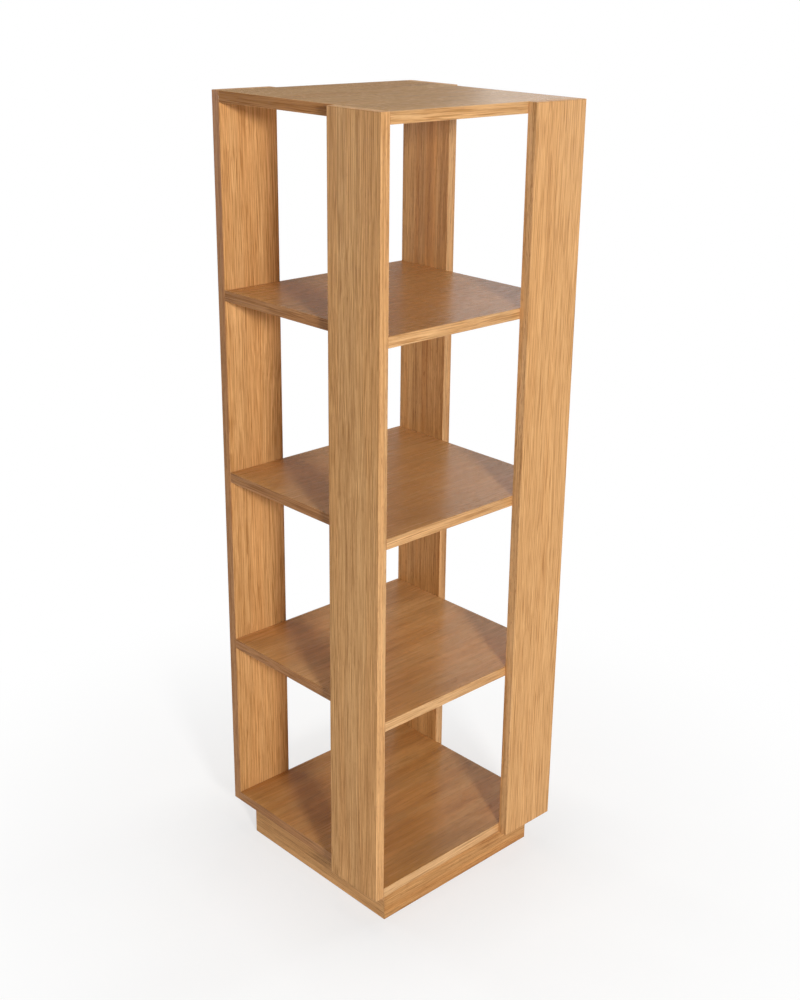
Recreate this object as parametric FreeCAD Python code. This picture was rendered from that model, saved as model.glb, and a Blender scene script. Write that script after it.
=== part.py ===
"""Square column bookshelf: five square shelves held by four narrow uprights in a pinwheel.

Every upright stands on one side of the shelves and ends flush with the next side, so all four
sides of each bay stay open. Shelves are pulled against the uprights by cam bolts and located by
dowels. A mitred plinth frame, held square by corner blocks, is screwed under the bottom shelf.

Millimetres. The floor is z = 0 and the column's middle is the z axis. Left and right are -x and
+x, front and back are -y and +y. A quarter turn about z carries each side onto the next, so each
piece is drawn once, on the left side or in the front left corner, and turned into its places.
"""
import FreeCAD, Part
import math
import os

# Boards
SHELF_SIDE = 400.0
SHELF_THICKNESS = 18.0
UPRIGHT_WIDTH = 116.0
UPRIGHT_THICKNESS = 18.0
BAY_HEIGHT = 302.0
ARRIS_RADIUS = 0.8
SHELF_NAMES = ("bottom", "lower", "middle", "upper", "top")
SIDE_NAMES = ("left", "front", "right", "back")

# Plinth frame and its corner blocks
PLINTH_HEIGHT = 68.0
PLINTH_SETBACK = 20.0
RAIL_THICKNESS = 18.0
RAIL_CHAMFER = 1.0
BLOCK_LEG = 70.0
BLOCK_TIP = 8.0
CORNER_NAMES = ("front_left", "front_right", "back_right", "back_left")

# Dowels
DOWEL_RADIUS = 4.0
DOWEL_INSET = 26.0
DOWEL_IN_SHELF = 20.0
DOWEL_CHAMFER = 1.0
BLIND_SKIN = 6.5

# Cam bolts
BOLT_THREAD_RADIUS = 2.5
BOLT_TIP_CHAMFER = 0.8
BOLT_COLLAR_LENGTH = 2.5
BOLT_SHANK_RADIUS = 2.6
BOLT_TAPER = 0.8
BOLT_NECK_RADIUS = 1.7
BOLT_NECK_LENGTH = 5.0
BOLT_HEAD_RADIUS = 3.3
BOLT_HEAD_BACK = 2.3
BOLT_HEAD_CONE = 1.7

# Cams and their caps
CAM_SETBACK = 34.0
CAM_WALL = 1.1
CAM_WEB = 2.0
CAM_SLOT_SWEEP = 150.0
CAM_DRIVE_RADIUS = 2.4
CAM_DRIVE_SPAN = 8.0
CAM_DRIVE_BLADE = 1.4
CAM_BORE_PAST_HEAD = 1.2
CAP_LAP = 1.0
CAP_THICKNESS = 1.2
CAP_ROUND = 0.8

# Plinth screws
SCREW_RADIUS = 2.25
SCREW_TIP = 3.0
SCREW_HEAD_RADIUS = 4.2
SCREW_HEAD_HEIGHT = 2.6
SCREW_HEAD_ROUND = 1.4
SCREW_GRIP = 28.0
SCREW_BITE = 12.0
SCREW_FROM_TIP = 22.0
SCREW_FROM_RAIL = 13.0

# Floor glides
GLIDE_FROM_RAIL = 18.0
GLIDE_RADIUS = 10.0
GLIDE_THICKNESS = 4.0
GLIDE_STAND = 1.0
GLIDE_ROUND = 1.5
GLIDE_PIN_RADIUS = 1.3
GLIDE_PIN_LENGTH = 13.0
GLIDE_PIN_TIP = 1.0

# Clearances
FIT = 0.1
END_GAP = 0.5
COLLAR_CLEARANCE = 0.3
NECK_CLEARANCE = 0.4
HEAD_CLEARANCE = 0.7
CAVITY_CLEARANCE = 1.1
SCREW_CLEARANCE = 0.4
COUNTERBORE_CLEARANCE = 1.3

# Worked out from the sizes above
HALF = SHELF_SIDE / 2
PITCH = BAY_HEIGHT + SHELF_THICKNESS
SHELF_LEVELS = [PLINTH_HEIGHT + PITCH * index for index in range(len(SHELF_NAMES))]
COLUMN_TOP = SHELF_LEVELS[-1] + SHELF_THICKNESS
MID_PLANE = SHELF_THICKNESS / 2
BLIND_DEPTH = UPRIGHT_THICKNESS - BLIND_SKIN
BOLT_Y = -HALF + UPRIGHT_WIDTH / 2
DOWEL_YS = (-HALF + DOWEL_INSET, -HALF + UPRIGHT_WIDTH - DOWEL_INSET)

BOLT_HOLE_RADIUS = BOLT_HEAD_RADIUS + HEAD_CLEARANCE
BOLT_COLLAR_RADIUS = BOLT_HOLE_RADIUS - COLLAR_CLEARANCE
CAVITY_RADIUS = BOLT_HEAD_RADIUS + CAVITY_CLEARANCE
CAVITY_OFFSET = CAVITY_RADIUS - BOLT_HEAD_BACK - FIT
CAVITY_FLOOR = MID_PLANE - BOLT_HEAD_RADIUS - HEAD_CLEARANCE
CAM_RADIUS = CAVITY_RADIUS + CAVITY_OFFSET + CAM_WALL
CAM_BORE_DEPTH = MID_PLANE + BOLT_HEAD_RADIUS + CAM_BORE_PAST_HEAD
CAM_DRIVE_TOP = CAVITY_FLOOR - CAM_WEB

RAIL_OUTER = HALF - PLINTH_SETBACK
RAIL_INNER = RAIL_OUTER - RAIL_THICKNESS
SCREW_ALONG = BLOCK_LEG - SCREW_FROM_TIP
SCREW_SPOTS = ((SCREW_ALONG, SCREW_FROM_RAIL), (SCREW_FROM_RAIL, SCREW_ALONG))
SCREW_SHOULDER = PLINTH_HEIGHT - SCREW_GRIP

QUARTER_TURNS = range(len(SIDE_NAMES))
ORIGIN = FreeCAD.Vector(0, 0, 0)
X_AXIS = FreeCAD.Vector(1, 0, 0)
Z_AXIS = FreeCAD.Vector(0, 0, 1)


# ---------------------------------------------------------------- drawing helpers

def point(x, y, z):
    """Position from its three coordinates."""
    return FreeCAD.Vector(x, y, z)


def turned(shape, quarter_turns):
    """Copy of a shape, carried round the column."""
    copy = shape.copy()
    copy.rotate(ORIGIN, Z_AXIS, 90 * quarter_turns)
    return copy


def moved(shape, x, y, z):
    """Copy of a shape, shifted."""
    copy = shape.copy()
    copy.translate(point(x, y, z))
    return copy


def eased_board(corner, length, width, height):
    """Board with every arris rounded, as veneered boards are sanded."""
    board = Part.makeBox(length, width, height, corner)
    return board.makeFillet(ARRIS_RADIUS, board.Edges)


def straight(points):
    """Straight edges through a list of points."""
    return [Part.LineSegment(start, end).toShape() for start, end in zip(points[:-1], points[1:])]


def quarter_round(start, corner, end):
    """Arc from start to end that bulges towards their common corner."""
    centre = start + end - corner
    middle = centre + (corner - centre) * math.sqrt(0.5)
    return Part.Arc(start, middle, end).toShape()


def revolved(outline, axis):
    """Solid of revolution from edges that start and end on the axis."""
    closing = Part.LineSegment(outline[-1].Vertexes[-1].Point, outline[0].Vertexes[0].Point).toShape()
    return Part.Face(Part.Wire(outline + [closing])).revolve(ORIGIN, axis, 360)


def prism(corners, bottom, top):
    """Upright prism on a list of plan corners."""
    ring = [point(x, y, bottom) for x, y in corners]
    return Part.Face(Part.makePolygon(ring + ring[:1])).extrude(point(0, 0, top - bottom))


# ---------------------------------------------------------------- shelves and uprights

def edge_holes():
    """Dowel holes, bolt hole and cam bore on the left side of a shelf that lies on z = 0."""
    holes = [
        Part.makeCylinder(DOWEL_RADIUS, DOWEL_IN_SHELF + END_GAP, point(-HALF, y, MID_PLANE), X_AXIS)
        for y in DOWEL_YS
    ]
    holes.append(Part.makeCylinder(BOLT_HOLE_RADIUS, CAM_SETBACK, point(-HALF, BOLT_Y, MID_PLANE), X_AXIS))
    holes.append(Part.makeCylinder(CAM_RADIUS, CAM_BORE_DEPTH, point(-HALF + CAM_SETBACK, BOLT_Y, 0)))
    return holes


def plinth_screw_holes():
    """Pilot holes over the front left plinth block, in a shelf that lies on z = 0."""
    depth = SCREW_BITE + END_GAP
    return [
        Part.makeCylinder(SCREW_RADIUS + FIT, depth, point(x - RAIL_INNER, y - RAIL_INNER, 0))
        for x, y in SCREW_SPOTS
    ]


def shelf(holes):
    """Square shelf on z = 0, with one side's holes repeated on all four sides."""
    board = eased_board(point(-HALF, -HALF, 0), SHELF_SIDE, SHELF_SIDE, SHELF_THICKNESS)
    return board.cut([turned(hole, turns) for turns in QUARTER_TURNS for hole in holes])


def left_upright():
    """Left upright, its edge flush with the front of the shelves, drilled for every shelf."""
    foot = point(-HALF - UPRIGHT_THICKNESS, -HALF, PLINTH_HEIGHT)
    board = eased_board(foot, UPRIGHT_THICKNESS, UPRIGHT_WIDTH, COLUMN_TOP - PLINTH_HEIGHT)
    bores = [(y, DOWEL_RADIUS) for y in DOWEL_YS] + [(BOLT_Y, BOLT_THREAD_RADIUS)]
    holes = [
        Part.makeCylinder(radius, BLIND_DEPTH, point(-HALF - BLIND_DEPTH, y, level + MID_PLANE), X_AXIS)
        for level in SHELF_LEVELS
        for y, radius in bores
    ]
    return board.cut(holes)


# ---------------------------------------------------------------- dowels, bolts, cams and caps

def dowel(y):
    """Beech dowel through the left joint of a shelf on z = 0, chamfered at both ends."""
    start = -HALF - BLIND_DEPTH + END_GAP
    length = -HALF + DOWEL_IN_SHELF - start
    pin = Part.makeCylinder(DOWEL_RADIUS - FIT, length, point(start, y, MID_PLANE), X_AXIS)
    rims = [edge for edge in pin.Edges if len(edge.Vertexes) == 1]
    return pin.makeChamfer(DOWEL_CHAMFER, rims)


def cam_bolt():
    """Bolt of the left joint: threaded in the upright, its undercut head inside the cam."""
    tip = END_GAP - BLIND_DEPTH
    thread = BOLT_THREAD_RADIUS - FIT
    head_back = CAM_SETBACK - BOLT_HEAD_BACK
    neck_start = head_back - BOLT_NECK_LENGTH
    stations = [
        (tip, 0),
        (tip, thread - BOLT_TIP_CHAMFER),
        (tip + BOLT_TIP_CHAMFER, thread),
        (0, thread),
        (0, BOLT_COLLAR_RADIUS),
        (BOLT_COLLAR_LENGTH, BOLT_COLLAR_RADIUS),
        (BOLT_COLLAR_LENGTH, BOLT_SHANK_RADIUS),
        (neck_start - BOLT_TAPER, BOLT_SHANK_RADIUS),
        (neck_start, BOLT_NECK_RADIUS),
        (head_back, BOLT_NECK_RADIUS),
        (head_back + BOLT_HEAD_CONE, BOLT_HEAD_RADIUS),
        (CAM_SETBACK, BOLT_HEAD_RADIUS),
    ]
    outline = straight([point(along, 0, radius) for along, radius in stations])
    front = CAM_SETBACK + BOLT_HEAD_RADIUS
    dome = [point(CAM_SETBACK, 0, BOLT_HEAD_RADIUS), point(front, 0, BOLT_HEAD_RADIUS), point(front, 0, 0)]
    outline.append(quarter_round(*dome))
    return moved(revolved(outline, X_AXIS), -HALF, BOLT_Y, MID_PLANE)


def cam_lock():
    """Cam of the left joint: drive in its floor, eccentric cavity for the head, slot for the neck.

    The neck rests at the start of the slot, and the head came in through the entry at its end.
    """
    body = Part.makeCylinder(CAM_RADIUS - FIT, CAM_BORE_DEPTH - END_GAP, point(0, 0, END_GAP))
    cavity = Part.makeCylinder(CAVITY_RADIUS, CAM_BORE_DEPTH, point(CAVITY_OFFSET, 0, CAVITY_FLOOR))
    half_slot = BOLT_NECK_RADIUS + NECK_CLEARANCE
    slot_foot = MID_PLANE - half_slot
    window = Part.makeBox(CAM_RADIUS, 2 * half_slot, 2 * half_slot, point(-CAM_RADIUS, -half_slot, slot_foot))
    slot = Part.makeCylinder(CAM_RADIUS, 2 * half_slot, point(0, 0, slot_foot), Z_AXIS, CAM_SLOT_SWEEP)
    slot.rotate(ORIGIN, Z_AXIS, 180)
    entry = Part.makeCylinder(BOLT_HEAD_RADIUS + NECK_CLEARANCE, CAM_RADIUS, point(0, 0, MID_PLANE), X_AXIS)
    entry.rotate(ORIGIN, Z_AXIS, 180 + CAM_SLOT_SWEEP)
    drive = Part.makeCylinder(CAM_DRIVE_RADIUS, CAM_DRIVE_TOP)
    blades = [
        Part.makeBox(length, width, CAM_DRIVE_TOP, point(-length / 2, -width / 2, 0))
        for length, width in ((CAM_DRIVE_SPAN, CAM_DRIVE_BLADE), (CAM_DRIVE_BLADE, CAM_DRIVE_SPAN))
    ]
    cam = body.cut([cavity, window, slot, entry, drive] + blades)
    return moved(cam, -HALF + CAM_SETBACK, BOLT_Y, 0)


def cam_cap():
    """Cover under the left cam: a thin disc with a round rim and a spigot in the drive."""
    radius = CAM_RADIUS + CAP_LAP
    spigot = CAM_DRIVE_RADIUS - FIT
    spigot_top = CAM_DRIVE_TOP - END_GAP
    rim = point(radius, 0, CAP_ROUND - CAP_THICKNESS)
    face = point(radius - CAP_ROUND, 0, -CAP_THICKNESS)
    stations = [(0, spigot_top), (spigot, spigot_top), (spigot, 0), (radius, 0)]
    outline = straight([point(across, 0, height) for across, height in stations] + [rim])
    outline.append(quarter_round(rim, point(radius, 0, -CAP_THICKNESS), face))
    outline += straight([face, point(0, 0, -CAP_THICKNESS)])
    return moved(revolved(outline, Z_AXIS), -HALF + CAM_SETBACK, BOLT_Y, 0)


def shelf_fittings(piece, level):
    """One joint's piece, repeated at all four joints of the shelf at a level."""
    return [moved(turned(piece, turns), 0, 0, level) for turns in QUARTER_TURNS]


# ---------------------------------------------------------------- plinth

def left_rail():
    """Left plinth rail: chamfered at its foot and mitred at both ends."""
    section = [
        point(-RAIL_OUTER, -RAIL_OUTER, PLINTH_HEIGHT),
        point(-RAIL_OUTER, -RAIL_OUTER, GLIDE_STAND + RAIL_CHAMFER),
        point(-RAIL_OUTER + RAIL_CHAMFER, -RAIL_OUTER, GLIDE_STAND),
        point(-RAIL_INNER, -RAIL_OUTER, GLIDE_STAND),
        point(-RAIL_INNER, -RAIL_OUTER, PLINTH_HEIGHT),
    ]
    bar = Part.Face(Part.makePolygon(section + section[:1])).extrude(point(0, 2 * RAIL_OUTER, 0))
    mitres = [
        (-RAIL_OUTER, -RAIL_OUTER),
        (-RAIL_INNER, -RAIL_INNER),
        (-RAIL_INNER, RAIL_INNER),
        (-RAIL_OUTER, RAIL_OUTER),
    ]
    return bar.common(prism(mitres, 0, PLINTH_HEIGHT))


def corner_block():
    """Front left glue block: a clipped triangle with two counterbored holes and a glide pocket."""
    corners = [(0, 0), (BLOCK_LEG, 0), (BLOCK_LEG, BLOCK_TIP), (BLOCK_TIP, BLOCK_LEG), (0, BLOCK_LEG)]
    block = prism(corners, GLIDE_STAND, PLINTH_HEIGHT)
    holes = [
        Part.makeCylinder(GLIDE_RADIUS + FIT, GLIDE_THICKNESS, point(GLIDE_FROM_RAIL, GLIDE_FROM_RAIL, 0)),
        Part.makeCylinder(
            GLIDE_PIN_RADIUS + FIT,
            GLIDE_THICKNESS + GLIDE_PIN_LENGTH + END_GAP,
            point(GLIDE_FROM_RAIL, GLIDE_FROM_RAIL, 0),
        ),
    ]
    for x, y in SCREW_SPOTS:
        holes.append(Part.makeCylinder(SCREW_RADIUS + SCREW_CLEARANCE, PLINTH_HEIGHT, point(x, y, 0)))
        holes.append(
            Part.makeCylinder(SCREW_HEAD_RADIUS + COUNTERBORE_CLEARANCE, SCREW_SHOULDER, point(x, y, 0))
        )
    return moved(block.cut(holes), -RAIL_INNER, -RAIL_INNER, 0)


def plinth_screw():
    """Round-headed wood screw on the z axis, its head's bearing face on z = 0."""
    head_edge = point(SCREW_HEAD_RADIUS, 0, SCREW_HEAD_ROUND - SCREW_HEAD_HEIGHT)
    head_face = point(SCREW_HEAD_RADIUS - SCREW_HEAD_ROUND, 0, -SCREW_HEAD_HEIGHT)
    length = SCREW_GRIP + SCREW_BITE
    stations = [(0, length), (SCREW_RADIUS, length - SCREW_TIP), (SCREW_RADIUS, 0), (SCREW_HEAD_RADIUS, 0)]
    outline = straight([point(across, 0, height) for across, height in stations] + [head_edge])
    outline.append(quarter_round(head_edge, point(SCREW_HEAD_RADIUS, 0, -SCREW_HEAD_HEIGHT), head_face))
    outline += straight([head_face, point(0, 0, -SCREW_HEAD_HEIGHT)])
    return revolved(outline, Z_AXIS)


def floor_glide():
    """Front left glide: a round-edged disc with a pin up into the block."""
    pin_top = GLIDE_THICKNESS + GLIDE_PIN_LENGTH
    rim = point(GLIDE_RADIUS, 0, GLIDE_ROUND)
    face = point(GLIDE_RADIUS - GLIDE_ROUND, 0, 0)
    stations = [
        (0, pin_top),
        (GLIDE_PIN_RADIUS, pin_top - GLIDE_PIN_TIP),
        (GLIDE_PIN_RADIUS, GLIDE_THICKNESS),
        (GLIDE_RADIUS, GLIDE_THICKNESS),
    ]
    outline = straight([point(across, 0, height) for across, height in stations] + [rim])
    outline.append(quarter_round(rim, point(GLIDE_RADIUS, 0, 0), face))
    outline += straight([face, ORIGIN])
    return moved(revolved(outline, Z_AXIS), GLIDE_FROM_RAIL - RAIL_INNER, GLIDE_FROM_RAIL - RAIL_INNER, 0)


# ---------------------------------------------------------------- assembly

def shelf_nodes():
    """Each shelf with its own dowels, bolts, cams and caps. The plinth covers the lowest cams."""
    plain = shelf(edge_holes())
    screwed = shelf(edge_holes() + plinth_screw_holes())
    dowels = [dowel(y) for y in DOWEL_YS]
    bolt = cam_bolt()
    lock = cam_lock()
    cap = cam_cap()
    nodes = {}
    for index, (name, level) in enumerate(zip(SHELF_NAMES, SHELF_LEVELS)):
        board = plain if index else screwed
        nodes["shelf_" + name] = [moved(board, 0, 0, level)]
        nodes["dowels_" + name] = [solid for pin in dowels for solid in shelf_fittings(pin, level)]
        nodes["cam_bolts_" + name] = shelf_fittings(bolt, level)
        nodes["cam_locks_" + name] = shelf_fittings(lock, level)
        if index:
            nodes["cam_caps_" + name] = shelf_fittings(cap, level)
    return nodes


def plinth_nodes():
    """Mitred rails, corner blocks, and the screws and glides in the blocks."""
    rail = left_rail()
    block = corner_block()
    glide = floor_glide()
    screws = [
        moved(plinth_screw(), x - RAIL_INNER, y - RAIL_INNER, SCREW_SHOULDER) for x, y in SCREW_SPOTS
    ]
    nodes = {"plinth_rail_" + name: [turned(rail, turns)] for turns, name in enumerate(SIDE_NAMES)}
    nodes.update({"plinth_block_" + name: [turned(block, turns)] for turns, name in enumerate(CORNER_NAMES)})
    nodes["plinth_screws"] = [turned(screw, turns) for turns in QUARTER_TURNS for screw in screws]
    nodes["floor_glides"] = [turned(glide, turns) for turns in QUARTER_TURNS]
    return nodes


upright = left_upright()
assembly = {"upright_" + name: [turned(upright, turns)] for turns, name in enumerate(SIDE_NAMES)}
assembly.update(shelf_nodes())
assembly.update(plinth_nodes())

os.makedirs("parts", exist_ok=True)
for node, solids in assembly.items():
    shape = solids[0] if len(solids) == 1 else Part.makeCompound(solids)
    shape.exportStep(os.path.join("parts", node + ".step"))
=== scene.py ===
import math

import bpy
from mathutils import Matrix, Vector


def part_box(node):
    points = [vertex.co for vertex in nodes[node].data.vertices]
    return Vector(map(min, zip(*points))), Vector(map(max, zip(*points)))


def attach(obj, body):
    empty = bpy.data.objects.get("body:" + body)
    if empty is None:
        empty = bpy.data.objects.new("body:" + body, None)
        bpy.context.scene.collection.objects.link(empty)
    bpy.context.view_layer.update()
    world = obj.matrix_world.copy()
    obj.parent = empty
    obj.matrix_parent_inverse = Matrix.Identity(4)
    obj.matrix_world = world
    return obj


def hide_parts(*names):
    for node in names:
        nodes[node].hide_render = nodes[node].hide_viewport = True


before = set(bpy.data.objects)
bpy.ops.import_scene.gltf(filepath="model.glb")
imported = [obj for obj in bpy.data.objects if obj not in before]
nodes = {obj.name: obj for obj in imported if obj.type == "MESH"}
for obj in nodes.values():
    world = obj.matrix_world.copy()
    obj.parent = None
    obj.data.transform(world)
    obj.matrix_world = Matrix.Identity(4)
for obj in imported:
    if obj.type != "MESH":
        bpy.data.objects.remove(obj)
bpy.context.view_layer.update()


# ---------------------------------------------------------------- uprights
# Four straight boards carry the column, one on each side, from the plinth to the top. Each is a
# board core with straight-grained oak veneer pressed on both faces and a thin oak band glued on
# every edge. The arrises are sanded round, and the whole board is sprayed with matt lacquer.

MM = 0.001


def tone(red, green, blue):
    """A colour as a paint chip gives it, turned into the light it sends back."""
    channels = [value / 255 for value in (red, green, blue)]
    return [v / 12.92 if v <= 0.04045 else ((v + 0.055) / 1.055) ** 2.4 for v in channels] + [1.0]


class Pattern:
    """A number that varies over a surface. Arithmetic on it adds Math nodes to its finish."""

    def __init__(self, finish, socket):
        self.finish = finish
        self.socket = socket

    def sum(self, operation, first, second):
        return self.finish.node("ShaderNodeMath", {"operation": operation}, {0: first, 1: second})

    def __add__(self, other):
        return self.sum("ADD", self, other)

    def __radd__(self, other):
        return self.sum("ADD", other, self)

    def __sub__(self, other):
        return self.sum("SUBTRACT", self, other)

    def __rsub__(self, other):
        return self.sum("SUBTRACT", other, self)

    def __mul__(self, other):
        return self.sum("MULTIPLY", self, other)

    def __rmul__(self, other):
        return self.sum("MULTIPLY", other, self)

    def __truediv__(self, other):
        return self.sum("DIVIDE", self, other)

    def __rtruediv__(self, other):
        return self.sum("DIVIDE", other, self)

    def __floordiv__(self, other):
        return self.finish.node("ShaderNodeMath", {"operation": "FLOOR"}, {0: self / other})

    def __gt__(self, other):
        return self.sum("GREATER_THAN", self, other)

    def __lt__(self, other):
        return self.sum("LESS_THAN", self, other)

    def __abs__(self):
        return self.finish.node("ShaderNodeMath", {"operation": "ABSOLUTE"}, {0: self})


class Finish:
    """A node tree under construction, and the shader in it that its patterns feed."""

    def __init__(self, owner, shader, **constants):
        owner.use_nodes = True
        self.owner = owner
        self.tree = owner.node_tree
        self.shader = self.tree.nodes[shader]
        for socket, value in constants.items():
            self.shader.inputs[socket.replace("_", " ")].default_value = value

    def node(self, kind, settings, inputs, output=0):
        made = self.tree.nodes.new(kind)
        for setting, value in settings.items():
            if setting == "stops":
                self.lay_stops(made.color_ramp, value)
            else:
                setattr(made, setting, value)
        for socket, value in inputs.items():
            if isinstance(value, Pattern):
                self.tree.links.new(value.socket, made.inputs[socket])
            elif isinstance(value, list) and isinstance(value[0], Pattern):
                for item in value:
                    self.tree.links.new(item.socket, made.inputs[socket])
            else:
                made.inputs[socket].default_value = value
        return Pattern(self, made.outputs[output])

    def lay_stops(self, ramp, stops):
        while len(ramp.elements) < len(stops):
            ramp.elements.new(0.5)
        for element, (position, colour) in zip(ramp.elements, stops):
            element.position = position
            element.color = colour

    def spot(self, kind):
        return self.node("ShaderNodeTexCoord", {}, {}, kind)

    def split(self, vector):
        parts = self.node("ShaderNodeSeparateXYZ", {}, {0: vector}).socket.node
        return [Pattern(self, output) for output in parts.outputs]

    def joined(self, x, y, z):
        return self.node("ShaderNodeCombineXYZ", {}, {0: x, 1: y, 2: z})

    def stretched(self, vector, factors, shift):
        settings = {"operation": "MULTIPLY_ADD"}
        return self.node("ShaderNodeVectorMath", settings, {0: vector, 1: factors, 2: shift})

    def clouds(self, vector, detail=2.0, roughness=0.5, output=0):
        inputs = {"Vector": vector, "Scale": 1.0, "Detail": detail, "Roughness": roughness}
        return self.node("ShaderNodeTexNoise", {}, inputs, output)

    def step(self, value, low, high):
        settings = {"interpolation_type": "SMOOTHSTEP"}
        inputs = {"Value": value, "From Min": low, "From Max": high, "To Min": 0.0, "To Max": 1.0}
        return self.node("ShaderNodeMapRange", settings, inputs)

    def blended(self, factor, under, over, way="MIX"):
        settings = {"data_type": "RGBA", "blend_type": way}
        return self.node("ShaderNodeMix", settings, {0: factor, 6: under, 7: over}, 2)

    def feed(self, socket, pattern):
        self.tree.links.new(pattern.socket, self.shader.inputs[socket])

    def raised(self, height, distance, strength):
        self.feed("Normal", self.node(
            "ShaderNodeBump", {}, {"Strength": strength, "Distance": distance, "Height": height}
        ))


def lacquered(name, **constants):
    """A new surface finish: a material, whose main shader gets the constants."""
    return Finish(bpy.data.materials.new(name), "Principled BSDF", **constants)


# A face looks along an axis where its normal's share of that axis is over SQUARE_ON. A pace is how
# many waves the leaf has to a metre, along it and across it, and a sway is how far they carry it.
SQUARE_ON = 0.7
SLOW_PACE, SLOW_SWAY = (2.2, 6.0, 6.0), 16 * MM
QUICK_PACE, QUICK_SWAY = (20.0, 34.0, 34.0), 3 * MM
GLUE_INSET = 1.1 * MM
GLUE_HALF_WIDTH = 0.14 * MM


def oak(board, grain, seed, tones, marks, band_marks, lean=0.0, reach=0.9, sheen=0.46, spread=1.0):
    """Oak veneer for one board: growth streaks, flecks, open pores and a glued band on each edge.

    tones holds one tone for the faces that look along x, along y and along z. grain names the
    axis that the leaf runs along. An edge that crosses it has its band running along the edge.
    marks holds the strength of the growth streaks, of the fibre and of the short flecks on the two
    broad faces, and band_marks holds them on the edges. lean is how far the leaf leans across the
    board for each metre along it, and reach is how far the streaks run. spread is how much wider
    than on the edges they are on the broad faces, and sheen is the roughness of the lacquer.
    """
    low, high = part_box(board)
    thin = min(range(3), key=lambda axis: high[axis] - low[axis])
    finish = lacquered("oak_" + board, Specular_IOR_Level=0.2)
    place = finish.split(finish.spot("Object"))
    facing = [abs(part) for part in finish.split(finish.spot("Normal"))]

    run = "xyz".index(grain)
    others = [axis for axis in range(3) if axis != run]
    along, across, depth = place[run], place[others[0]], place[others[1]]
    if run != 2:
        crossing = facing[run] > SQUARE_ON
        turned = place[others[0]]
        across = turned + crossing * (along - turned)
        along = along + crossing * (turned - along)
    across = across + along * lean
    leaf = finish.joined(along, across, depth)
    broad = facing[thin] > SQUARE_ON
    streak, thread, fleck = [edge + broad * (face - edge) for face, edge in zip(marks, band_marks)]
    for pace, sway in ((SLOW_PACE, SLOW_SWAY), (QUICK_PACE, QUICK_SWAY * marks[2])):
        wander = finish.clouds(finish.stretched(leaf, pace, (seed, seed, 0.0)), 1.0, 0.5, 1)
        leaf = finish.stretched(wander, (0.0, sway, sway), leaf)

    def figure(length, width, detail, roughness, salt, output=0):
        shift = (seed * 3.1 + salt, seed * 1.7 - salt, salt)
        fineness = 1 / width
        scale = finish.joined(1 / length, fineness, fineness)
        return finish.clouds(finish.stretched(leaf, scale, shift), detail, roughness, output)

    swell = 1 + broad * (spread - 1)
    drift = finish.split(figure(reach, 30 * MM * swell, 1.0, 0.5, 2.0, 1))
    rings = figure(reach * 0.7, 8.5 * MM * swell, 3.0, 0.7, 9.0) - 0.5
    flecks = finish.step(figure(70 * MM, 1.7 * MM, 1.0, 0.5, 23.0), 0.5, 0.68)
    fibre = figure(220 * MM, 1.3 * MM, 2.0, 0.6, 17.0) - 0.5
    pores = finish.step(figure(12 * MM, 0.6 * MM, 0.0, 0.5, 31.0) - rings * 0.3, 0.62, 0.74)

    figured = ((drift[0] - 0.5) * 0.8 + rings * 1.05) * streak + fibre * thread - flecks * fleck + 0.55
    middle = tones[thin]
    dark = [channel * shade for channel, shade in zip(middle, (0.66, 0.57, 0.44, 1.0))]
    pale = [min(1.0, channel * shade) for channel, shade in zip(middle, (1.30, 1.40, 1.56, 1.0))]
    wood = finish.node("ShaderNodeValToRGB", {
        "stops": [(0.0, dark), (0.5, middle), (1.0, pale)],
    }, {0: figured})
    ruddy = finish.step(drift[1], 0.47, 0.56) * (0.75 * streak)
    wood = finish.blended(ruddy, wood, (1.03, 0.93, 0.80, 1.0), "MULTIPLY")
    wood = finish.blended(pores * (0.45 * streak), wood, tone(150, 96, 56), "MULTIPLY")
    for axis in range(3):
        if axis != thin:
            ratio = [far / near for far, near in zip(tones[axis], middle)]
            wood = finish.blended(facing[axis] > SQUARE_ON, wood, ratio, "MULTIPLY")

    insets = [
        (high[axis] - low[axis]) / 2 - abs(place[axis] - (high[axis] + low[axis]) / 2)
        for axis in range(3) if axis != thin
    ]
    glued = [abs(inset - GLUE_INSET) < GLUE_HALF_WIDTH for inset in insets]
    wood = finish.blended(broad * (glued[0] + glued[1]) * 0.6, wood, tone(120, 78, 46), "MULTIPLY")
    finish.feed("Base Color", wood)
    finish.feed("Roughness", sheen + pores * 0.16 + rings * 0.12)
    finish.raised(fibre * 0.25 - pores, 0.00025, 0.35)
    return finish.owner


def dress(piece, material):
    """Gives every slot of a solid's mesh one finish."""
    for index in range(len(nodes[piece].data.materials)):
        nodes[piece].data.materials[index] = material


PALE_OAK = tone(220, 170, 110)
HONEY_OAK = tone(200, 150, 95)
TAWNY_OAK = tone(185, 135, 80)
PALE_BAND = tone(200, 155, 105)
# The edges that look along x, on the shelves and the back upright, get this darker, redder tone; the edges
# that look along y get the paler one.
DARKER_X_EDGES = tone(170, 120, 75)

BAND_MARKS = (0.9, 1.9, 0.3)
for side, seed, tones, marks, band_marks, lean in (
    ("left", 3.7, (HONEY_OAK, PALE_BAND, PALE_BAND), (0.5, 2.3, 0.4), BAND_MARKS, 0.012),
    ("front", 11.3, (PALE_BAND, HONEY_OAK, PALE_BAND), (0.25, 1.85, 0.45), (1.2, 1.9, 0.3), -0.006),
    ("right", 23.9, (TAWNY_OAK, PALE_BAND, PALE_BAND), (0.95, 2.0, 0.4), BAND_MARKS, 0.0),
    ("back", 41.2, (DARKER_X_EDGES, HONEY_OAK, PALE_BAND), (0.4, 2.1, 0.5), BAND_MARKS, 0.004),
):
    upright = "upright_" + side
    dress(upright, oak(upright, "z", seed, tones, marks, band_marks, lean=lean))


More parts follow.
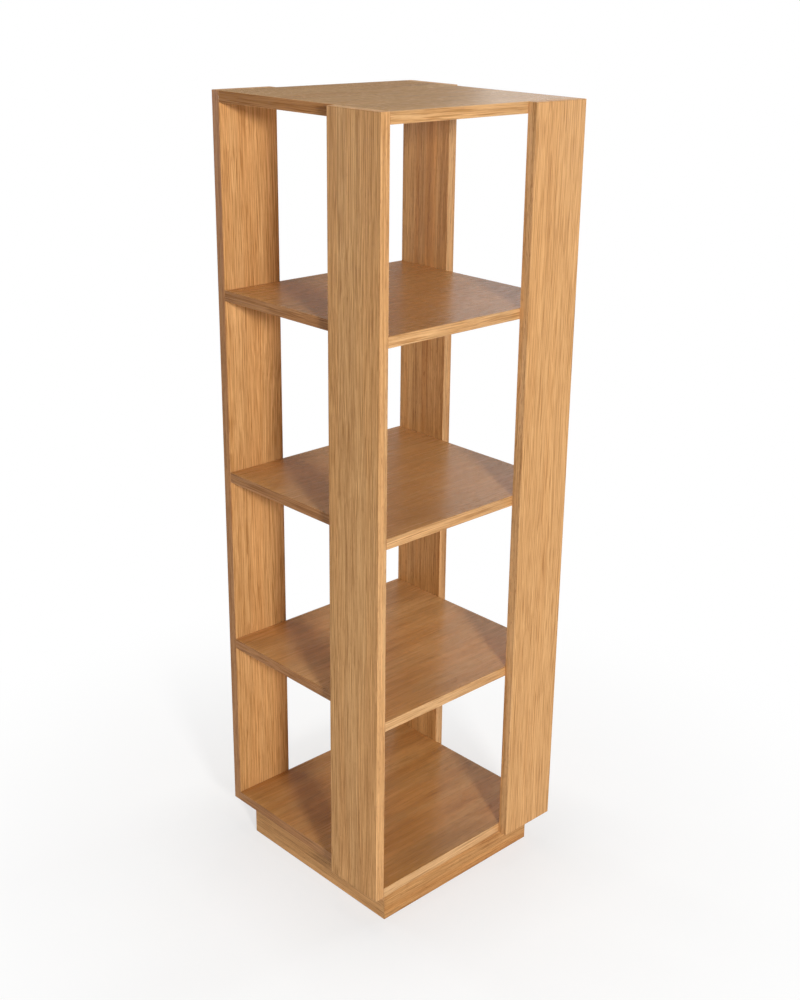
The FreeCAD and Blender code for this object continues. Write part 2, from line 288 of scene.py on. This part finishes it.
# ---------------------------------------------------------------- shelves
# Five square boards lie between the uprights, the top one flush with their ends. They have the
# same core, veneer and lacquer, with the leaf running from left to right on both faces, and a
# band along each of the four edges. Cams draw them against the uprights.

SHELF_BANDS = (0.5, 1.8, 0.5)
SHELF_REACH = 0.25
SHELF_SPREAD = 1.7
for level, seed, face, marks, sheen in (
    ("bottom", 5.1, TAWNY_OAK, (0.75, 0.35, 0.25), 0.27),
    ("lower", 13.4, HONEY_OAK, (0.6, 0.3, 0.25), 0.27),
    ("middle", 21.8, HONEY_OAK, (0.3, 0.28, 0.25), 0.27),
    ("upper", 33.3, HONEY_OAK, (0.3, 0.28, 0.25), 0.27),
    ("top", 47.6, PALE_OAK, (0.5, 0.5, 0.15), 0.15),
):
    shelf = "shelf_" + level
    tones = (DARKER_X_EDGES, PALE_BAND, face)
    dress(shelf, oak(
        shelf, "x", seed, tones, marks, SHELF_BANDS, reach=SHELF_REACH, sheen=sheen, spread=SHELF_SPREAD
    ))


# ---------------------------------------------------------------- joints in the shelves
# Each shelf meets each upright with two beech dowels and one cam bolt. The bolt is zinc-plated
# steel, screwed into the upright. Its head sits in a die-cast zinc cam let into the underside of
# the shelf. A tan plastic cap covers the cam, except where the plinth hides it.

def beech(name, seed):
    """Bare beech: pale pink-brown, with short darker ray flecks."""
    finish = lacquered(name, Roughness=0.7)
    place = finish.spot("Object")
    fleck = finish.clouds(finish.stretched(place, (620.0, 620.0, 2400.0), (seed, 0.0, 0.0)), 2.0, 0.6)
    cloud = finish.clouds(finish.stretched(place, (30.0, 30.0, 30.0), (0.0, seed, 0.0)))
    wood = finish.blended(cloud, tone(206, 168, 132), tone(190, 148, 110))
    wood = finish.blended(finish.step(fleck, 0.56, 0.66) * 0.5, wood, tone(196, 146, 108), "MULTIPLY")
    finish.feed("Base Color", wood)
    finish.raised(fleck, 0.0002, 0.3)
    return finish.owner


def metal(name, colour, shine, grain_size, seed):
    """Plated or cast metal: a fine speckle in its tone and a slightly uneven shine."""
    finish = lacquered(name, Metallic=1.0)
    place = finish.spot("Object")
    factors = (1 / grain_size, 1 / grain_size, 1 / grain_size)
    speckle = finish.clouds(finish.stretched(place, factors, (seed, seed, seed)), 3.0, 0.6)
    darker = [channel * 0.72 for channel in colour[:3]] + [1.0]
    finish.feed("Base Color", finish.blended(finish.step(speckle, 0.3, 0.7), darker, colour))
    finish.feed("Roughness", shine + (speckle - 0.5) * 0.3)
    finish.raised(speckle, 0.0001, 0.4)
    return finish.owner


def moulded(name, colour, gloss, seed):
    """Moulded plastic with a fine spark texture."""
    finish = lacquered(name)
    place = finish.spot("Object")
    spark = finish.clouds(finish.stretched(place, (2600.0, 2600.0, 2600.0), (seed, seed, 0.0)), 1.0)
    cloud = finish.clouds(finish.stretched(place, (120.0, 120.0, 120.0), (0.0, seed, seed)))
    darker = [channel * 0.8 for channel in colour[:3]] + [1.0]
    finish.feed("Base Color", finish.blended(cloud, darker, colour))
    finish.feed("Roughness", gloss + (spark - 0.5) * 0.2)
    finish.raised(spark, 0.00008, 0.5)
    return finish.owner


bare_beech = beech("bare_beech", 2.0)
plated_steel = metal("plated_steel", tone(206, 206, 200), 0.34, 0.0011, 4.0)
cast_zinc = metal("cast_zinc", tone(176, 178, 178), 0.5, 0.0007, 8.0)
tan_cap = moulded("tan_cap", tone(186, 138, 92), 0.5, 3.0)
LEVELS = ("bottom", "lower", "middle", "upper", "top")
for level in LEVELS:
    dress("cam_locks_" + level, cast_zinc)
    if level != "bottom":
        dress("cam_caps_" + level, tan_cap)


class Jig(Finish):
    """A Geometry Nodes tree that shapes fittings. Each size in it is a named input."""

    kinds = {
        int: "NodeSocketInt",
        float: "NodeSocketFloat",
        bpy.types.Material: "NodeSocketMaterial",
    }
    crease = 0.6

    def __init__(self, name, **sizes):
        self.tree = bpy.data.node_groups.new(name, "GeometryNodeTree")
        self.tree.interface.new_socket("Fittings", in_out="OUTPUT", socket_type="NodeSocketGeometry")
        self.tree.interface.new_socket("Outline", in_out="INPUT", socket_type="NodeSocketGeometry")
        self.values = {}
        for size, value in sizes.items():
            title = size.replace("_", " ")
            kind = self.kinds[type(value)]
            socket = self.tree.interface.new_socket(title, in_out="INPUT", socket_type=kind)
            self.values[socket.identifier] = value
        entry = self.tree.nodes.new("NodeGroupInput")
        self.size = {output.name: Pattern(self, output) for output in entry.outputs}

    def held(self, value, low, high):
        return self.node("ShaderNodeClamp", {}, {"Value": value, "Min": low, "Max": high})

    def index(self):
        return self.node("GeometryNodeInputIndex", {}, {})

    def placed(self, points, geometry, rotation=(0.0, 0.0, 0.0)):
        inputs = {"Points": points, "Instance": geometry, "Rotation": rotation}
        return self.node("GeometryNodeInstanceOnPoints", {}, inputs)

    def in_row(self, count, start, stride):
        inputs = {"Count": count, "Start Location": start, "Offset": stride}
        return self.node("GeometryNodeMeshLine", {"mode": "OFFSET"}, inputs)

    def on_all_sides(self, geometry):
        """The left side's fittings again at each quarter turn about the column."""
        hub = self.node("GeometryNodePoints", {}, {"Count": 4})
        return self.placed(hub, geometry, self.joined(0.0, 0.0, self.index() * (math.pi / 2)))

    def crisp(self, geometry):
        """Smooth faces that meet at a crease wherever they turn sharply."""
        smooth = self.node("GeometryNodeSetShadeSmooth", {}, {"Geometry": geometry})
        bend = self.node("GeometryNodeInputMeshEdgeAngle", {}, {}) > self.crease
        inputs = {"Geometry": smooth, "Selection": bend, "Shade Smooth": False}
        return self.node("GeometryNodeSetShadeSmooth", {"domain": "EDGE"}, inputs)

    def cast(self, name, geometry, outline=()):
        """Runs the tree once and keeps what it makes as the plain mesh of a new piece."""
        whole = self.node("GeometryNodeRealizeInstances", {}, {"Geometry": geometry})
        inputs = {"Geometry": whole, "Material": self.size["Finish"]}
        done = self.node("GeometryNodeSetMaterial", {}, inputs)
        self.tree.links.new(done.socket, self.tree.nodes.new("NodeGroupOutput").inputs[0])
        blank = bpy.data.meshes.new(name + "_outline")
        blank.from_pydata(outline, [], [])
        piece = bpy.data.objects.new(name, blank)
        bpy.context.scene.collection.objects.link(piece)
        modifier = piece.modifiers.new(name, "NODES")
        modifier.node_group = self.tree
        for identifier, value in self.values.items():
            modifier[identifier] = value
        evaluated = piece.evaluated_get(bpy.context.evaluated_depsgraph_get())
        finished = bpy.data.meshes.new_from_object(evaluated)
        for blank_slot in [i for i, finish in enumerate(finished.materials) if finish is None]:
            finished.materials.pop(index=blank_slot)
        piece.modifiers.remove(modifier)
        piece.data = finished
        bpy.data.meshes.remove(blank)
        return piece


SHELF_EDGE = -200 * MM
FIRST_JOINT = 77 * MM
SHELF_PITCH = 320 * MM
JOINT_CENTRE = -142 * MM
DOWEL_SPACING = 64 * MM
DOWEL_DEPTH = 11 * MM
ALONG_X = (0.0, math.pi / 2, 0.0)
AGAINST_X = (0.0, -math.pi / 2, 0.0)
UP_THE_COLUMN = (0.0, 0.0, SHELF_PITCH)


def fluted_dowel(jig):
    """One dowel along z: a star-shaped section, drawn in at both ends to make the chamfers."""
    size = jig.size
    line = jig.node("GeometryNodeCurvePrimitiveLine", {}, {})
    stations = jig.node("GeometryNodeResampleCurve", {"mode": "COUNT"}, {"Curve": line, "Count": 4})
    station = jig.index()
    inside = (station > 0.5) * (station < 2.5)
    body = size["Length"] - 2 * size["Chamfer"]
    along = (station > 0.5) * size["Chamfer"] + (station > 1.5) * body
    along = along + (station > 2.5) * size["Chamfer"]
    axis = jig.node("GeometryNodeSetPosition", {}, {
        "Geometry": stations, "Position": jig.joined(0.0, 0.0, along),
    })
    section = jig.node("GeometryNodeCurveStar", {}, {
        "Points": size["Flutes"],
        "Inner Radius": size["Radius"] - size["Flute Depth"],
        "Outer Radius": size["Radius"],
    })
    return jig.crisp(jig.node("GeometryNodeCurveToMesh", {}, {
        "Curve": axis, "Profile Curve": section, "Fill Caps": True,
        "Scale": 1 - (1 - inside) * (size["Chamfer"] / size["Radius"]),
    }))


dowel_jig = Jig(
    "fluted_dowel", Finish=bare_beech, Flutes=22, Radius=3.9 * MM, Flute_Depth=0.22 * MM,
    Length=31.0 * MM, Chamfer=1.0 * MM,
)
first_dowel = (SHELF_EDGE - DOWEL_DEPTH, JOINT_CENTRE - DOWEL_SPACING / 2, FIRST_JOINT)
dowel_pair = dowel_jig.placed(
    dowel_jig.in_row(2, first_dowel, (0.0, DOWEL_SPACING, 0.0)), fluted_dowel(dowel_jig), ALONG_X,
)
dowel_pairs = dowel_jig.placed(
    dowel_jig.in_row(len(LEVELS), (0.0, 0.0, 0.0), UP_THE_COLUMN), dowel_pair,
)
dowels = dowel_jig.cast("fluted_dowels", dowel_jig.on_all_sides(dowel_pairs))
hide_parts(*["dowels_" + level for level in LEVELS])
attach(dowels, "root")


ROWS_PER_TURN = 3
WELD = 0.005 * MM


def threaded(name, head, tip, sizes):
    """A jig for one headed fitting along z, and its shape there: head first, thread at the far end.

    head and tip hold a height and a radius for each turned station before and after the thread. The
    thread is a ridge that winds up the core, with rows at its foot, crest and foot in each turn. It
    runs out at both ends, and narrows to nothing at the point.
    """
    turns = math.ceil((sizes["End"] - sizes["Start"]) / sizes["Pitch"])
    stations = len(head) + len(tip)
    jig = Jig(name, Sides=16, Stations=stations, Entry=len(head), Turns=turns, **sizes)
    size = jig.size
    thread_rows = (size["Turns"] + 2) * ROWS_PER_TURN
    rows = size["Stations"] + thread_rows
    inputs = {"Vertices X": size["Sides"] + 1, "Vertices Y": rows}
    skin = jig.node("GeometryNodeMeshGrid", {}, inputs)
    column = jig.index() // rows
    row = jig.index() - column * rows
    angle = column * math.tau / size["Sides"]

    past = row > size["Entry"] + thread_rows - 0.5
    drawn = jig.split(jig.node("GeometryNodeSampleIndex", {"data_type": "FLOAT_VECTOR"}, {
        "Geometry": size["Outline"],
        "Value": jig.node("GeometryNodeInputPosition", {}, {}),
        "Index": row - past * thread_rows,
    }))
    wound = row - size["Entry"]
    turn = wound // ROWS_PER_TURN
    kind = wound - turn * ROWS_PER_TURN
    climb = (turn - 1 + column / size["Sides"]) * size["Pitch"] + kind * 0.5 * size["Ridge Width"]
    along = jig.held(size["Start"] + climb, size["Start"], size["End"])
    fade = jig.held((along - size["Start"]) / size["Runout"], 0.0, 1.0)
    fade = fade * jig.held((size["End"] - along) / size["Runout"], 0.0, 1.0)
    narrowing = jig.held((size["Point"] - along) / size["Point Length"], 0.0, 1.0)
    crest = 1 - abs(kind - 1)
    radius = (size["Core Radius"] + size["Ridge"] * crest * fade) * narrowing

    winding = (row > size["Entry"] - 0.5) * (1 - past)
    radius = drawn[0] + winding * (radius - drawn[0])
    height = drawn[2] + winding * (along - drawn[2])
    turned = jig.joined(
        radius * jig.node("ShaderNodeMath", {"operation": "COSINE"}, {0: angle}),
        radius * jig.node("ShaderNodeMath", {"operation": "SINE"}, {0: angle}),
        height,
    )
    skin = jig.node("GeometryNodeSetPosition", {}, {"Geometry": skin, "Position": turned})
    body = jig.node("GeometryNodeMergeByDistance", {}, {"Geometry": skin, "Distance": WELD})
    arms = []
    for reach, wide in (("Recess Span", "Recess Width"), ("Recess Width", "Recess Span")):
        block = jig.joined(size[reach], size[wide], size["Recess Depth"] * 2)
        blade = jig.node("GeometryNodeMeshCube", {}, {"Size": block})
        spot = jig.joined(0.0, 0.0, head[0][2])
        arms.append(jig.node("GeometryNodeTransform", {}, {"Geometry": blade, "Translation": spot}))
    cut = {"operation": "DIFFERENCE", "solver": "EXACT"}
    return jig, jig.crisp(jig.node("GeometryNodeMeshBoolean", cut, {"Mesh 1": body, "Mesh 2": arms}))


def outlined(*stations):
    """An outline for the jig, from heights and radii in millimetres."""
    return [(radius * MM, 0.0, height * MM) for height, radius in stations]


DOME_CENTRE = -34
DOME_RADIUS = 3.3
dome = [
    (DOME_CENTRE - DOME_RADIUS * math.cos(angle), DOME_RADIUS * math.sin(angle))
    for angle in (0, 0.32, 0.64, 0.96, 1.28, 1.57)
]
bolt_head = outlined(
    *dome, (-33.4, 3.3), (-31.7, 1.7), (-26.7, 1.7), (-25.9, 2.6), (-2.5, 2.6), (-2.49, 3.45),
    (-2.25, 3.7), (-0.25, 3.7), (-0.01, 3.45), (0.0, 1.8),
)
bolt_tip = outlined((10.6, 1.8), (10.95, 1.4), (11.0, 0.0))
bolt_jig, bolt = threaded("cam_bolt", bolt_head, bolt_tip, {
    "Finish": plated_steel, "Pitch": 1.75 * MM, "Ridge": 0.58 * MM, "Ridge_Width": 0.9 * MM,
    "Core_Radius": 1.8 * MM, "Start": 0.0, "End": 10.6 * MM, "Runout": 0.9 * MM,
    "Point": 12.0 * MM, "Point_Length": 1.0 * MM,
    "Recess_Span": 3.6 * MM, "Recess_Width": 0.8 * MM, "Recess_Depth": 1.9 * MM,
})
first_bolt = (SHELF_EDGE, JOINT_CENTRE, FIRST_JOINT)
bolt_column = bolt_jig.placed(
    bolt_jig.in_row(len(LEVELS), first_bolt, UP_THE_COLUMN), bolt, AGAINST_X,
)
bolts = bolt_jig.cast("threaded_cam_bolts", bolt_jig.on_all_sides(bolt_column), bolt_head + bolt_tip)
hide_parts(*["cam_bolts_" + level for level in LEVELS])
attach(bolts, "root")


# ---------------------------------------------------------------- plinth
# Four oak-veneered rails are mitred and glued into a square foot, set back under the bottom shelf.
# Bare pine blocks glued in the corners take the screws up into the shelf and the brown nylon
# glides that keep the rails off the floor.

def pine(name, seed):
    """Bare planed pine: pale straw with soft orange growth rings."""
    finish = lacquered(name, Roughness=0.72)
    place = finish.spot("Object")
    rings = finish.clouds(finish.stretched(place, (150.0, 150.0, 6.0), (seed, 0.0, 0.0)), 2.0, 0.5)
    fibre = finish.clouds(finish.stretched(place, (900.0, 900.0, 30.0), (0.0, seed, 0.0)), 2.0, 0.6)
    wood = finish.blended(finish.step(rings, 0.4, 0.64), tone(226, 192, 142), tone(204, 152, 92))
    wood = finish.blended(fibre * 0.3, wood, tone(190, 150, 104), "MULTIPLY")
    finish.feed("Base Color", wood)
    finish.raised(fibre, 0.0002, 0.3)
    return finish.owner


RAIL_MARKS = (0.9, 2.0, 0.4)
for side, grain, seed, face in (
    ("left", "y", 6.2, HONEY_OAK),
    ("front", "x", 15.5, TAWNY_OAK),
    ("right", "y", 25.1, TAWNY_OAK),
    ("back", "x", 36.4, TAWNY_OAK),
):
    rail = "plinth_rail_" + side
    dress(rail, oak(rail, grain, seed, (face, face, face), RAIL_MARKS, BAND_MARKS))
bare_pine = pine("bare_pine", 5.0)
for corner in ("front_left", "front_right", "back_right", "back_left"):
    dress("plinth_block_" + corner, bare_pine)

HEAD_TOP = -2.6
HEAD_ROUNDING = 1.4
HEAD_FLAT = 2.8
rounding = [
    (HEAD_TOP + HEAD_ROUNDING * (1 - math.cos(angle)), HEAD_FLAT + HEAD_ROUNDING * math.sin(angle))
    for angle in (0, 0.4, 0.8, 1.2, 1.57)
]
screw_head = outlined((HEAD_TOP, 0.0), *rounding, (-0.01, 4.2), (0.0, 1.85), (13.6, 1.85), (14.0, 1.5))
screw_tip = outlined((39.7, 0.09), (39.99, 0.0))
FIRST_SCREW = (-114 * MM, -149 * MM, 40 * MM)
TO_NEXT_SCREW = (-35 * MM, 35 * MM, 0.0)
screw_jig, screw = threaded("plinth_screw", screw_head, screw_tip, {
    "Finish": plated_steel, "Pitch": 2.0 * MM, "Ridge": 0.72 * MM, "Ridge_Width": 0.85 * MM,
    "Core_Radius": 1.5 * MM, "Start": 14.0 * MM, "End": 39.7 * MM, "Runout": 1.0 * MM,
    "Point": 40.0 * MM, "Point_Length": 5.0 * MM,
    "Recess_Span": 4.4 * MM, "Recess_Width": 1.0 * MM, "Recess_Depth": 1.7 * MM,
})
screw_pair = screw_jig.placed(screw_jig.in_row(2, FIRST_SCREW, TO_NEXT_SCREW), screw)
screws = screw_jig.cast(
    "threaded_plinth_screws", screw_jig.on_all_sides(screw_pair), screw_head + screw_tip,
)
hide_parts("plinth_screws")
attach(screws, "root")
dress("floor_glides", moulded("brown_nylon", tone(96, 76, 62), 0.45, 6.0))


# ---------------------------------------------------------------- studio
# A pale floor that fades to white, and a pale surround that lights evenly. In a shine both show
# painted reflections: the surround is dimmer on the left and low down, and the floor's left half is
# darker. The key lamp stands in front on the left, a weaker one hangs overhead, and a faint broad
# sheet stands high behind on the right. Two more lamps light the right and the rear.

FLOOR_RADIUS = 6.0
FLOOR_SIDES = 96
SIDEWAYS_X = 0.692
SIDEWAYS_Y = 0.722
floor_mesh = bpy.data.meshes.new("studio_floor")
bearings = [math.tau * side / FLOOR_SIDES for side in range(FLOOR_SIDES)]
rim = [(FLOOR_RADIUS * math.cos(turn), FLOOR_RADIUS * math.sin(turn), 0) for turn in bearings]
floor_mesh.from_pydata(rim, [], [list(range(FLOOR_SIDES))])
floor = bpy.data.objects.new("studio_floor", floor_mesh)
bpy.context.scene.collection.objects.link(floor)
paper = lacquered("studio_paper", Roughness=0.9, Specular_IOR_Level=0.0)
distance = paper.node("ShaderNodeVectorMath", {"operation": "LENGTH"}, {0: paper.spot("Object")}, 1)
mottle = paper.clouds(paper.stretched(paper.spot("Object"), (9.0, 9.0, 9.0), (0.0, 0.0, 0.0)))
paper.feed("Base Color", paper.blended(mottle, tone(243, 243, 242), tone(247, 247, 246)))
white = paper.node("ShaderNodeEmission", {}, {"Color": (1.0, 1.0, 1.0, 1.0), "Strength": 1.0})


def sight(finish):
    """One each for the rays that see a surface: straight, in a shine, or through something clear."""
    rays = ("Is Camera Ray", "Is Glossy Ray", "Is Transmission Ray")
    return [finish.node("ShaderNodeLightPath", {}, {}, ray) for ray in rays]


straight, shining, through = sight(paper)
veil = (straight + shining + through) * (0.62 + 0.38 * paper.step(distance, 0.25, 1.1))
laid = paper.node("ShaderNodeMixShader", {}, {0: veil, 1: Pattern(paper, paper.shader.outputs[0]), 2: white})
# Painted shade in reflections: seen in a shine, the floor's left half is mixed halfway to black, which
# lowers the sheen on faces that look to the left.
spot = paper.split(paper.spot("Object"))
leftward = paper.step(spot[1] * SIDEWAYS_Y - spot[0] * SIDEWAYS_X, -0.3, 0.3)
black = paper.node("ShaderNodeEmission", {}, {"Color": (0.0, 0.0, 0.0, 1.0)})
laid = paper.node("ShaderNodeMixShader", {}, {0: shining * leftward * 0.5, 1: laid, 2: black})
clear = paper.node("ShaderNodeBsdfTransparent", {}, {})
below = paper.node("ShaderNodeNewGeometry", {}, {}, "Backfacing")
laid = paper.node("ShaderNodeMixShader", {}, {0: below, 1: laid, 2: clear})
paper.tree.links.new(laid.socket, paper.tree.nodes["Material Output"].inputs["Surface"])
floor_mesh.materials.append(paper.owner)

air = Finish(bpy.data.worlds.new("studio_surround"), "Background", Strength=0.199)
air.shader.inputs["Color"].default_value = (1.0, 1.0, 1.0, 1.0)
way = air.split(air.spot("Generated"))
rightward = air.step(way[0] * SIDEWAYS_X - way[1] * SIDEWAYS_Y, -0.012, 0.012)
straight, shining, through = sight(air)
shown = straight + shining + through
# Painted reflection: a shine sees a surround that is dim on the left and brighter on the right, both
# brighter higher up, while matt surfaces get only its even, faint light.
dim = 0.09 + 0.4 * air.step(way[2], 0.12, 0.24)
clear_side = 0.48 + 0.27 * air.step(way[2], 0.22, 0.34)
bright = straight + through + shining * (dim + (clear_side - dim) * rightward)
sheet = air.node("ShaderNodeBackground", {}, {"Color": (1.0, 1.0, 1.0, 1.0), "Strength": 1.0})
unlit = air.node("ShaderNodeBackground", {}, {"Color": (0.0, 0.0, 0.0, 1.0)})
sheet = air.node("ShaderNodeMixShader", {}, {0: bright, 1: unlit, 2: sheet})
around = air.node("ShaderNodeMixShader", {}, {0: shown, 1: Pattern(air, air.shader.outputs[0]), 2: sheet})
air.tree.links.new(around.socket, air.tree.nodes["World Output"].inputs["Surface"])
bpy.context.scene.world = air.owner


def lamp(name, place, aim, width, height, level):
    """A soft lamp. level is the share of white that it gives a card held square to it."""
    light = bpy.data.lights.new(name, "AREA")
    light.shape = "RECTANGLE"
    light.size = width
    light.size_y = height
    toward = Vector(aim) - Vector(place)
    light.energy = level * math.pi ** 2 * toward.length_squared
    holder = bpy.data.objects.new(name, light)
    holder.location = place
    holder.rotation_mode = "QUATERNION"
    holder.rotation_quaternion = toward.to_track_quat("-Z", "Y")
    bpy.context.scene.collection.objects.link(holder)


lamp("key_lamp", (-2.22, -5.0, 2.3), (0.0, 0.0, 0.7), 0.64, 0.64, 0.74)
lamp("overhead_lamp", (0.0, 0.0, 5.0), (0.0, 0.0, 1.366), 0.6, 0.6, 0.48)
lamp("back_sheet", (3.43, 2.06, 2.8), (0.0, 0.0, 0.7), 2.0, 1.6, 0.065)
lamp("right_lamp", (4.0, -1.0, 1.3), (0.0, 0.0, 0.8), 1.0, 1.0, 0.3)
lamp("rear_lamp", (-1.0, 4.0, 1.3), (0.0, 0.0, 0.8), 1.0, 1.0, 0.3)


# ---------------------------------------------------------------- camera
# It looks slightly down on the corner between the left and front uprights.

LOOK_YAW = 0.7908
LOOK_DOWN = 0.3456
LOOK_ROLL = 0.0205
EYE = (-1.5419, -1.6553, 1.5549)
ahead = Vector((
    math.cos(LOOK_YAW) * math.cos(LOOK_DOWN),
    math.sin(LOOK_YAW) * math.cos(LOOK_DOWN),
    -math.sin(LOOK_DOWN),
))
level_right = Vector((math.sin(LOOK_YAW), -math.cos(LOOK_YAW), 0.0))
upward = level_right.cross(ahead)
right = level_right * math.cos(LOOK_ROLL) + upward * math.sin(LOOK_ROLL)
head = upward * math.cos(LOOK_ROLL) - level_right * math.sin(LOOK_ROLL)
lens = bpy.data.cameras.new("camera")
lens.lens = 50.19
lens.sensor_width = 36.0
lens.shift_x = -0.0335
lens.shift_y = -0.031
lens.clip_start = 0.05
lens.clip_end = 50.0
camera = bpy.data.objects.new("camera", lens)
bpy.context.scene.collection.objects.link(camera)
camera.matrix_world = (
    Matrix.Translation(EYE) @ Matrix((right, head, -ahead)).transposed().to_4x4()
)
bpy.context.scene.camera = camera
bpy.context.scene.view_settings.view_transform = "Standard"
